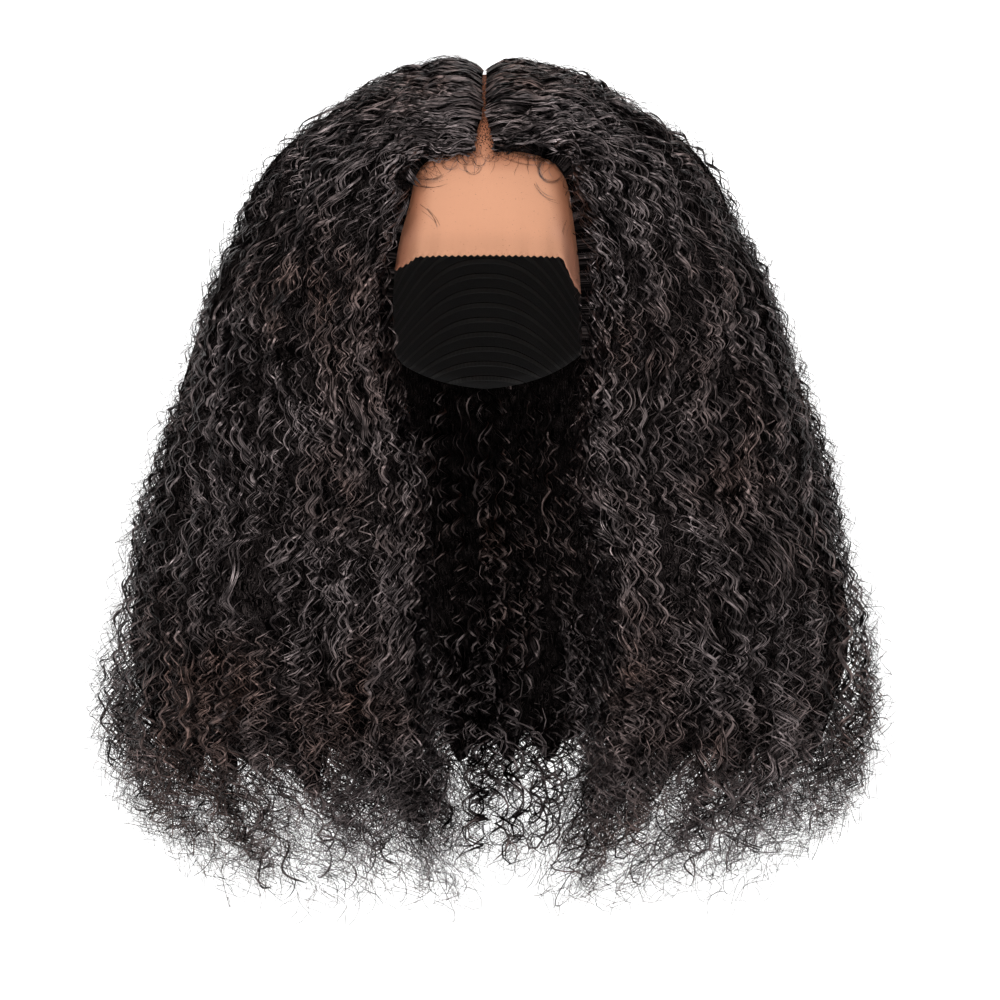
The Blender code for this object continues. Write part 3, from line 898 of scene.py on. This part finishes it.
def strand_places(form, kind, rng):
    """Where one kind of strand runs, as places across and down and distances down, and where
    down each starts."""
    clumps = kind.count // kind.clump
    each = clumps * kind.clump, 1
    low, high = kind.across
    bias = FRONT_BIAS if kind.ends[0] < HALF_WAY else 1.0
    across = low + (high - low) * shared(kind, rng, 0, 1) ** bias
    if kind.high > STANDS_OUT and kind.ends[0] < HALF_WAY:
        widest = rng.normal(WIDEST_ACROSS, FRIZZ_SPREAD, each)
        across = np.where(rng.uniform(0, 1, each) < FRIZZ_SHARE, widest, across)
    if kind.ends[0] > HALF_WAY:
        near = np.abs(across - WIDEST_ACROSS) < shared(kind, rng, 0, TIPS_KEEP_OFF)
        across = np.where(near, shared(kind, rng, *TIPS_MOVE_TO), across)
    whole = form.read("length", across, np.ones(each))[..., 0]
    stride = kind.step * shared(kind, rng, *STEP_RANGE) / whole
    ends = shared(kind, rng, *kind.ends) + rng.uniform(-ENDS_VARY, ENDS_VARY, each)
    start = np.maximum(ends - stride * kind.points, 0)
    bare = (start > BARE_DOWN[0]) & (start < BARE_DOWN[1])
    across = np.where(bare, np.maximum(across, BARE_ACROSS), across)
    index = np.arange(kind.points)[None]
    down = start + stride * index
    drift = np.repeat(rng.normal(0, DRIFT_ACROSS, (clumps, 1)), kind.clump, 0)
    across = across + drift * index / kind.points
    length = form.read("length", across, down)[..., 0] + np.maximum(down - 1, 0) * whole
    return across, down, length, start


def strand_paths(form, kind, rng):
    """The points of one kind of strand: each goes down its lock, coils round its own line with
    the pitch and swing of CURLS at a phase that its neighbours share, strays slowly to one side,
    and dives under the surface at its start. A clump's strands share all this and draw together
    towards its end. Returns the points, the outward directions, the distances down, the places
    across, and which strands start at the parting."""
    across, down, length, start = strand_places(form, kind, rng)
    clumps = kind.count // kind.clump
    each = clumps * kind.clump, 1
    pitch, swing = by_down(CURLS, "pitch", down), by_down(CURLS, "swing", down)
    pitch = pitch * (1 + (shared(kind, rng, *PITCH_RANGE) - 1) * min(kind.own, 1))
    swing = swing * shared(kind, rng, *SWING_RANGE)
    swing = swing * rng.uniform(*OWN_SWING_RANGE, each) * kind.wide
    moved = np.diff(length, axis=1, prepend=length[:, :1])
    turns = np.cumsum(moved / pitch, 1) + length[:, :1] / pitch[:, :1]
    apart = shared(kind, rng, -OWN_PHASE, OWN_PHASE) + rng.normal(0, PHASE_VARIES, each)
    phase = 2 * math.pi * turns + side_noise(SHARED_TURNS, across, length) + apart * kind.own
    row = np.repeat(7.3 * np.arange(clumps)[:, None], kind.clump, 0)
    stray = value_noise(length * STRAYS_PER_METRE + shared(kind, rng, 0, 60), row, 12)
    index = np.arange(kind.points)[None]
    begun = np.clip(index / START_POINTS, 0, 1)
    spread = (1 - CLUMP_NARROWS * index / kind.points) * min(kind.clump - 1, 1)
    beside = rng.normal(0, CLUMP_WIDTH, each) * spread
    under = rng.normal(0, CLUMP_DEPTH, each) * spread
    aside = lock_swing(across, down, length) + swing * np.sin(phase) + kind.stray * stray * begun
    deeper = DEEPER_TIPS * np.interp(down, DEEPER_DOWN, (0, 1)) * (kind.high < STANDS_OUT)
    depth = kind.high - (kind.high + (kind.deep + deeper)) * shared(kind, rng, 0, 1)
    depth = depth * by_down(FREEDOM, "share", down) + under * np.clip(down / 0.1, 0, 1)
    dive = START_DIVE * (1 - begun) * np.clip(start / 0.05, 0, 1)
    over = lock_height(form, across, down, length) + depth - dive + 0.8 * swing * np.cos(phase)
    tilt = rng.normal(0, TILT_VARIES, each) * kind.own * by_down(TILTS, "share", down)
    points = form.place(across, down, over, aside + beside)
    past_root = PAST_ROOT * rng.uniform(0, 1, each) ** 2 * np.exp(-length / PAST_ROOT_OVER)
    further = tilt * swing * np.cos(phase) - past_root
    points = points + form.read("down", across, down) * further[..., None]
    return points, form.read("out", across, down), length, across[:, 0], start[:, 0] <= 0


def ribbons(points, out, length, rooted, width, turn, tone, rng):
    """Flat ribbons along rows of points, turned by up to this angle from facing outwards, and
    narrow at both ends, or at their tips alone if rooted. Their UV map is in millimetres."""
    count, steps = points.shape[:2]
    ahead = unit(np.gradient(points, axis=1))
    wide = unit(np.cross(ahead, out))
    lift = np.cross(wide, ahead)
    angle = turn * rng.uniform(-1, 1, (count, 1))
    index = np.arange(steps)
    twist = RIBBON_TWIST_PITCH * index + rng.uniform(0, 6, (count, 1))
    angle = angle + RIBBON_TWIST * np.sin(twist)
    wide = wide * np.cos(angle)[..., None] + lift * np.sin(angle)[..., None]
    begins = np.where(rooted[:, None], RIBBON_TAPERS_OVER, index + 0.6)
    ends = (steps - index) * 0.8
    taper = np.clip(np.minimum(begins, ends) / RIBBON_TAPERS_OVER, RIBBON_NARROWEST, 1)
    half = (width * rng.uniform(*RIBBON_WIDTH_RANGE, (count, 1)) * taper / 2)[..., None]
    vertices = np.stack([points - wide * half, points + wide * half], 2)
    ids = np.arange(count * steps * 2).reshape(count, steps, 2)
    quads = np.stack([ids[:, :-1, 0], ids[:, :-1, 1], ids[:, 1:, 1], ids[:, 1:, 0]], -1)
    side = np.stack([-half[..., 0], half[..., 0]], -1) * 1000 + rng.uniform(0, 500, (count, 1, 1))
    along = np.repeat(length[..., None] * 1000, 2, 2)
    uv = np.stack([side, along], -1).reshape(-1, 2)
    return vertices.reshape(-1, 3), quads.reshape(-1, 4), uv, np.repeat(tone, steps * 2)


def joined(parts):
    """Several meshes as one: their vertices, faces, UV maps and tones one after another."""
    starts = np.cumsum([0] + [len(part[0]) for part in parts[:-1]])
    quads = np.concatenate([part[1] + start for part, start in zip(parts, starts)])
    vertices, uv, tone = (np.concatenate([part[i] for part in parts]) for i in (0, 2, 3))
    return vertices, quads, uv, tone


def section_of(across):
    """The number of the section that each place across lies in, the inner face included."""
    outside = np.where(across < 0, np.maximum(-across - EDGE_SHARE, 0), across)
    ends = [section_range(index)[1] for index in range(len(SECTIONS) - 1)]
    return np.digitize(outside, ends)


def add_hair(settings):
    """Both sides' masses and strands, a mass and a joined piece of strands for each section."""
    mass, strand = mass_material(settings), strand_material(settings)
    for side, side_name in ((-1, "left"), (1, "right")):
        form = HairForm(side)
        rng = np.random.default_rng(20 + side)
        grown = []
        for kind in STRANDS.values():
            kind = kind._replace(count=int(kind.count * settings.density))
            paths = strand_paths(form, kind, rng)
            tone = rng.uniform(0, 1, len(paths[0])) ** 1.5
            grown.append(((*paths, tone), kind.width, kind.turn))
        for index, section in enumerate(SECTIONS):
            start, end = section_range(index)
            name = f"hair_{side_name}_{section.name}"
            vertices, quads, uv = mass_mesh(form, start, end, settings)
            tone = np.full(len(vertices), 0.5)
            piece = make_piece(f"mass_{side_name}_{section.name}", vertices, quads, uv, tone, mass)
            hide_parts(name)
            parts = []
            for each, width, turn in grown:
                own = section_of(each[3]) == index
                points, out, length, _, rooted, tone = (values[own] for values in each)
                parts.append(ribbons(points, out, length, rooted, width, turn, tone, rng))
            piece = make_piece(f"curls_{side_name}_{section.name}", *joined(parts), strand)
            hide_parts(name)


def front_of_head(x, z, offset):
    """Points on the front of the head form at these places, seen from the front."""
    below = z + CROWN_TO_WIDEST < 0
    height = np.where(below, WIDEST_TO_END, CROWN_TO_WIDEST)
    left = 1 - np.abs(x / HEAD_HALF_WIDTH) ** SQUARENESS
    left = left - np.abs((z + CROWN_TO_WIDEST) / height) ** SQUARENESS
    y = -HEAD_HALF_DEPTH * np.clip(left, 0.01, 1) ** (1 / SQUARENESS)
    return head_point(np.stack([x, y, z + CROWN_TO_WIDEST], -1), offset)


def short_hairs(form, count, rng):
    """Places of short hairs that leave a side's hairline, seen from the front. Each turns more and
    more as it goes, and wobbles."""
    down = rng.uniform(0.0, BABY_DOWN, count) ** 1.2
    starts = form.read("points", np.zeros(count) + BABY_ACROSS, down)
    step = rng.uniform(*BABY_STEP, (count, 1))
    by_parting = down[:, None] < PARTING_TO_DOWN
    heading = rng.uniform(*BABY_HEADING, (count, 1)) - PARTING_HEADING * by_parting
    index = np.arange(BABY_POINTS)
    bend = rng.uniform(*BABY_BEND, (count, 1)) * (0.6 + index / BABY_POINTS)
    phase = BABY_WOBBLE_PITCH * index + rng.uniform(0, 6, (count, 1))
    angle = heading + np.cumsum(bend + BABY_WOBBLE * np.sin(phase), 1)
    x = starts[:, :1] - form.side * np.cumsum(np.cos(angle) * step, 1)
    return x, starts[:, 2:] + np.cumsum(np.sin(angle) * step, 1)


def curl_hairs(curl, rng):
    """Places of the hairs of a named curl, seen from the front: each is a part of an ellipse with
    its own middle, start, length and size, which grows or shrinks along it."""
    each = (curl.hairs, 1)
    along = np.linspace(0, 1, BABY_POINTS) * rng.uniform(*CURL_LENGTH, each)
    start = curl.start + rng.normal(0, CURL_START_VARIES_DEG, each)
    angle = np.radians(start + (curl.end - curl.start) * along)
    grown = 1 + rng.normal(0, CURL_SIZE_VARIES, each)
    grown = grown + rng.normal(0, CURL_GROWTH_VARIES, each) * along
    x = curl.x + curl.wide * grown * np.cos(angle) + rng.normal(0, CURL_MIDDLE_VARIES, each)
    z = curl.z + curl.high * grown * np.sin(angle) + rng.normal(0, CURL_MIDDLE_VARIES, each)
    return x, z


def laid(places, width, rng):
    """Ribbons on the lace along rows of places seen from the front."""
    points = front_of_head(*places, BABY_LIFT)
    out = unit(points - HEAD_MIDDLE)
    moved = np.linalg.norm(np.diff(points, axis=1, prepend=points[:, :1]), axis=-1)
    tone, rooted = rng.uniform(0, 0.4, len(points)), np.ones(len(points), bool)
    return ribbons(points, out, np.cumsum(moved, 1), rooted, width, BABY_TURN, tone, rng)


def add_baby_hairs(settings):
    """Fine hairs on the lace: short ones that leave the hairline, and the named curls."""
    rng = np.random.default_rng(5)
    parts = []
    for side in (-1, 1):
        places = short_hairs(HairForm(side), settings.baby_hairs, rng)
        parts.append(laid(places, settings.baby_width, rng))
    for curl in BABY_CURLS:
        parts.append(laid(curl_hairs(curl, rng), settings.baby_width, rng))
    material = bpy.data.materials["hair_strands"]
    piece = make_piece("baby_hairs", *joined(parts), material)


# Cloth


def cloth_grid(sideways, turn, offset):
    """A cloth's points over the head form, and its UV map in millimetres."""
    points = round_head(sideways + 0 * turn, turn, offset)
    aside = np.cumsum(np.linalg.norm(np.diff(points, axis=1, prepend=points[:, :1]), axis=-1), 1)
    down = np.cumsum(np.linalg.norm(np.diff(points, axis=0, prepend=points[:1]), axis=-1), 0)
    middle = aside[len(aside) // 2] - aside[len(aside) // 2].mean()
    uv = np.stack([middle + 0 * aside, down], -1) * 1000
    return points, uv


def thicken(piece, thickness):
    """Gives a cloth its thickness, outwards."""
    solid = piece.modifiers.new("thickness", "SOLIDIFY")
    solid.thickness = thickness
    solid.offset = 1.0


def add_lace(settings):
    """The lace panel: it lies on the form, ripples near its free edge, and ends in small teeth."""
    ends = math.radians(LACE_ENDS_DEG)
    sideways = np.linspace(-ends, ends, LACE_COLUMNS + 1)
    low = edge_turn(LACE_EDGE_DEG, sideways)
    tooth = TOOTH_HEIGHT / HEAD_HALF_DEPTH / np.maximum(np.cos(sideways), 0.2)
    pitch = TOOTH_PITCH / HEAD_HALF_DEPTH
    saw = np.abs(np.mod(sideways / pitch, 1) * 2 - 1)
    along = np.linspace(0, 1, LACE_ROWS + 1)[:, None] ** 1.3
    turn = low + (math.radians(LACE_SEAM_DEG) - low) * along
    turn = turn + tooth * saw * np.clip(1 - along * 14, 0, 1)
    free = np.clip(1 - along * 6, 0, 1)
    ripple = LACE_RIPPLE * free * (1 + np.sin(sideways * 31) * np.sin(sideways * 13 + 1.0))
    points, uv = cloth_grid(sideways, turn, (LACE_OFFSET + ripple)[..., None])
    edge = uv[..., 1]
    aside = np.abs(np.degrees(sideways)) + 0 * edge
    pink = np.clip((aside - 20) / 14, 0, 1) * by_edge(LACE_PINKS, edge)
    hem = np.clip((30 - aside) / 6, 0, 1) * by_edge(LACE_HEMS, edge)
    tone = by_edge(LACE_TONES, edge) - PINK_DARKENS * pink
    roots, knots = lace_shade_and_knots(points, turn)
    # roots: painted shade of the hair on the lace, with the roots' own dark
    numbers = {"roots": roots, "knots": knots, "pink": pink, "hem": hem}
    quads = grid_quads(LACE_ROWS + 1, LACE_COLUMNS + 1)
    flat_mesh = points.reshape(-1, 3), quads, uv.reshape(-1, 2), tone
    piece = make_piece("lace_panel", *flat_mesh, lace_material(settings), **numbers)
    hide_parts("lace_front")
    thicken(piece, LACE_THICKNESS)


def by_edge(bands, edge):
    """The share of the lace's bands at these millimetres from its free edge."""
    return np.interp(edge, [band.edge for band in bands], [band.share for band in bands])


def lace_shade_and_knots(points, turn):
    """How much painted shade of the hair darkens the lace, with the dark of the roots in it, and
    how clearly its knots show: both along the parting, a little more at its sides and back, and
    both beside the hairline."""
    from_middle = np.abs(points[..., 0])
    back = np.clip((np.degrees(turn) - HAIRLINE_DEG) / 9, 0, 1)
    in_parting = 0.8 + 0.25 * np.maximum(from_middle / HAIRLINE_HALF_GAP, back)
    begun = np.clip((np.degrees(turn) - HAIRLINE_DEG + 2) / 3, 0, 1)
    in_parting = in_parting * (from_middle < 0.009) * begun
    near = hairline_nearness(points)
    roots = np.maximum(near, in_parting)
    knots = near * np.clip((points[..., 2] + 0.062) / 0.010, 0, 1)
    return roots, np.maximum(knots, in_parting * (1 - 0.2 * back))


def hairline_nearness(points):
    """From 1 at the parting and the hair's front edge to 0 a few millimetres off."""
    steps = np.linspace(0, 1, 90)
    edges = []
    for side in (-1, 1):
        form = HairForm(side)
        edges.append(form.read("points", 0 * steps - EDGE_SHARE * 0.9, 0.45 * steps))
        edges.append(form.read("points", steps, 0 * steps))
    edge = np.concatenate(edges)
    flat = points.reshape(-1, 3)
    far = np.full(len(flat), np.inf)
    for point in edge:
        far = np.minimum(far, np.linalg.norm(flat - point, axis=-1))
    return np.clip(1 - (far - 0.002) / 0.011, 0, 1).reshape(points.shape[:-1])


def add_cap(settings):
    """The net cap, from its seam with the lace over the crown and down to the nape."""
    ends = math.radians(LACE_ENDS_DEG)
    sideways = np.linspace(-ends, ends, CAP_COLUMNS + 1)
    start = math.radians(LACE_SEAM_DEG) + 0.003
    along = np.linspace(0, 1, CAP_ROWS + 1)[:, None]
    turn = start + (edge_turn(NAPE_EDGE_DEG, sideways) - start) * along
    points, uv = cloth_grid(sideways, turn, np.full(turn.shape + (1,), LACE_OFFSET))
    tone = np.ones(points.shape[:2])
    quads = grid_quads(CAP_ROWS + 1, CAP_COLUMNS + 1)
    flat_mesh = points.reshape(-1, 3), quads, uv.reshape(-1, 2), tone
    piece = make_piece("net_cap", *flat_mesh, cap_material(settings))
    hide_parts("cap")
    thicken(piece, CAP_THICKNESS)


# Stage


def add_light(name, place, target, size, power):
    """A square soft light at a place, facing a target."""
    data = bpy.data.lights.new(name, "AREA")
    data.size = size
    data.energy = power
    lamp = bpy.data.objects.new(name, data)
    aim = np.array(target) - np.array(place)
    lamp.location = place
    tip = math.acos(-aim[2] / np.linalg.norm(aim))
    lamp.rotation_euler = (tip, 0, math.atan2(aim[1], aim[0]) - math.pi / 2)
    bpy.context.scene.collection.objects.link(lamp)


def add_stage(settings):
    """A pale floor that bends up into a backdrop, soft lights and the camera."""
    bend = np.linspace(0, math.pi / 2, BACKDROP_STEPS)
    floor, wall, radius = settings.floor_z, settings.wall_y, BACKDROP_RADIUS
    top = floor + BACKDROP_HEIGHT
    y = np.concatenate([[BACKDROP_FRONT], wall - radius + radius * np.sin(bend), [wall]])
    z = np.concatenate([[floor], floor + radius - radius * np.cos(bend), [top]])
    x = np.array((-BACKDROP_HALF_WIDTH, BACKDROP_HALF_WIDTH))
    points = np.stack([x[None] + 0 * y[:, None], y[:, None] + 0 * x, z[:, None] + 0 * x], -1)
    quads = grid_quads(len(y), 2)
    mesh = bpy.data.meshes.new("floor")
    mesh.from_pydata(points.reshape(-1, 3).tolist(), [], quads.tolist())
    mesh.polygons.foreach_set("use_smooth", [True] * len(quads))
    mesh.materials.append(stage_material(settings.paper_color))
    paper = bpy.data.objects.new("floor", mesh)
    bpy.context.scene.collection.objects.link(paper)
    for lamp in LAMPS:
        add_light(lamp.name, lamp.place, LAMPS_FACE, lamp.size, settings.key_power * lamp.share)
    world = bpy.data.worlds.new("studio")
    world.use_nodes = True
    background = world.node_tree.nodes["Background"]
    background.inputs["Color"].default_value = (1, 1, 1, 1)
    seen = node(world.node_tree, "ShaderNodeLightPath").outputs["Is Camera Ray"]
    strength = calc(world.node_tree, "MAXIMUM", seen, settings.ambient)
    world.node_tree.links.new(strength, background.inputs["Strength"])
    bpy.context.scene.world = world
    bpy.context.scene.view_settings.view_transform = "Standard"
    data = bpy.data.cameras.new("camera")
    data.sensor_width = SENSOR_WIDTH
    data.lens = settings.lens
    camera = bpy.data.objects.new("camera", data)
    camera.location = CAMERA_PLACE
    camera.rotation_euler = (math.pi / 2, 0, 0)
    bpy.context.scene.collection.objects.link(camera)
    bpy.context.scene.camera = camera


# The add-on


def amount(name, text, default, **options):
    return bpy.props.FloatProperty(name=name, description=text, default=default, **options)


def tint(name, text, default):
    return bpy.props.FloatVectorProperty(
        name=name, description=text, default=default, size=3, min=0, max=1, subtype="COLOR"
    )


class HairSettings(bpy.types.PropertyGroup):
    """What a user would change about the hair."""

    density: amount("Density", "Strands, as a share of the full number", 1.0, min=0.05, max=1.2)
    mass_end: amount("Mass end", "How far down the dark masses reach", 0.88, subtype="FACTOR")
    roughness: amount("Roughness", "Roughness of the hair", 0.34, subtype="FACTOR")
    # Painted shade: the black between the hair lines, on the strands and on the masses
    gap_shade_color: tint("Dark", "Colour between strands", (0.0015, 0.0012, 0.0012))
    mass_color: tint("Mass", "Colour of the masses' fine lines", (0.056, 0.045, 0.044))
    # Painted highlight: the strands are lit in small patches and dull between them
    dull_color: tint("Dull", "Colour of the strands in duller patches", (0.066, 0.054, 0.054))
    lit_color: tint("Lit", "Colour of the lightest strands", (0.215, 0.178, 0.178))
    baby_hairs: bpy.props.IntProperty(
        name="Baby hairs", description="Short hairs on the lace, each side", default=70, min=0
    )
    baby_width: amount("Baby hair width", "Width of the short hairs", 0.00015, unit="LENGTH")


class ClothSettings(bpy.types.PropertyGroup):
    """What a user would change about the lace and the cap."""

    lace_color: tint("Lace", "Colour of the lace", (0.73, 0.365, 0.222))
    lace_shade: tint("Lace shade", "Colour of the lace's darker patches", (0.70, 0.345, 0.208))
    lace_edge: tint("Lace edge", "Colour of the lace beside its free edge", (0.64, 0.37, 0.29))
    lace_hem: tint("Lace hem", "Colour of the lace's doubled hem", (0.66, 0.33, 0.20))
    cap_color: tint("Cap", "Colour of the net cap", (0.030, 0.028, 0.028))
    # Painted sheen on the wefts' thread
    weft_sheen_color: tint("Weft", "Colour of the sewn wefts", (0.050, 0.046, 0.045))


class StageSettings(bpy.types.PropertyGroup):
    """What a user would change about the floor, the lights and the camera."""

    floor_z: amount("Floor", "Height of the floor", -0.80, unit="LENGTH")
    wall_y: amount("Wall", "Distance of the backdrop", 2.2, unit="LENGTH")
    paper_color: tint("Paper", "Colour of the floor and backdrop", (0.90, 0.90, 0.90))
    key_power: amount("Key light", "Power of the key light", 34.0, unit="POWER")
    ambient: amount("Ambient", "Strength of the light from all round", 0.16)
    lens: amount("Lens", "Focal length in millimetres", 123.0)


class WIG_OT_hair(bpy.types.Operator):
    """Adds the hair's masses and strands"""

    bl_idname = "wig.hair"
    bl_label = "Add hair"

    def execute(self, context):
        add_hair(context.scene.wig_hair)
        return {"FINISHED"}


class WIG_OT_baby_hairs(bpy.types.Operator):
    """Adds the short hairs that lie on the lace"""

    bl_idname = "wig.baby_hairs"
    bl_label = "Add baby hairs"

    def execute(self, context):
        add_baby_hairs(context.scene.wig_hair)
        return {"FINISHED"}


class WIG_OT_lace(bpy.types.Operator):
    """Adds the lace panel"""

    bl_idname = "wig.lace"
    bl_label = "Add lace"

    def execute(self, context):
        add_lace(context.scene.wig_cloth)
        return {"FINISHED"}


class WIG_OT_cap(bpy.types.Operator):
    """Adds the net cap"""

    bl_idname = "wig.cap"
    bl_label = "Add cap"

    def execute(self, context):
        add_cap(context.scene.wig_cloth)
        return {"FINISHED"}


class WIG_OT_stage(bpy.types.Operator):
    """Adds the floor, the lights and the camera"""

    bl_idname = "wig.stage"
    bl_label = "Add stage"

    def execute(self, context):
        add_stage(context.scene.wig_stage)
        return {"FINISHED"}


class WIG_PT_panel(bpy.types.Panel):
    """Lists the wig's pieces and their settings"""

    bl_label = "Lace front wig"
    bl_idname = "WIG_PT_panel"
    bl_space_type = "VIEW_3D"
    bl_region_type = "UI"
    bl_category = "Wig"

    def draw(self, context):
        for name, _ in GROUPS:
            box = self.layout.box()
            settings = getattr(context.scene, name)
            for key in settings.bl_rna.properties.keys():
                if key not in ("rna_type", "name"):
                    box.prop(settings, key)
        for operator in OPERATORS:
            self.layout.operator(operator.bl_idname)


GROUPS = (("wig_hair", HairSettings), ("wig_cloth", ClothSettings), ("wig_stage", StageSettings))
OPERATORS = (WIG_OT_hair, WIG_OT_baby_hairs, WIG_OT_lace, WIG_OT_cap, WIG_OT_stage)


def register():
    for name, group in GROUPS:
        bpy.utils.register_class(group)
        setattr(bpy.types.Scene, name, bpy.props.PointerProperty(type=group))
    for made in (*OPERATORS, WIG_PT_panel):
        bpy.utils.register_class(made)


def unregister():
    for made in (WIG_PT_panel, *reversed(OPERATORS)):
        bpy.utils.unregister_class(made)
    for name, group in reversed(GROUPS):
        delattr(bpy.types.Scene, name)
        bpy.utils.unregister_class(group)


def main():
    register()
    bpy.ops.wig.hair()
    bpy.ops.wig.baby_hairs()
    bpy.ops.wig.lace()
    bpy.ops.wig.cap()
    bpy.ops.wig.stage()


if __name__ == "__main__":
    main()
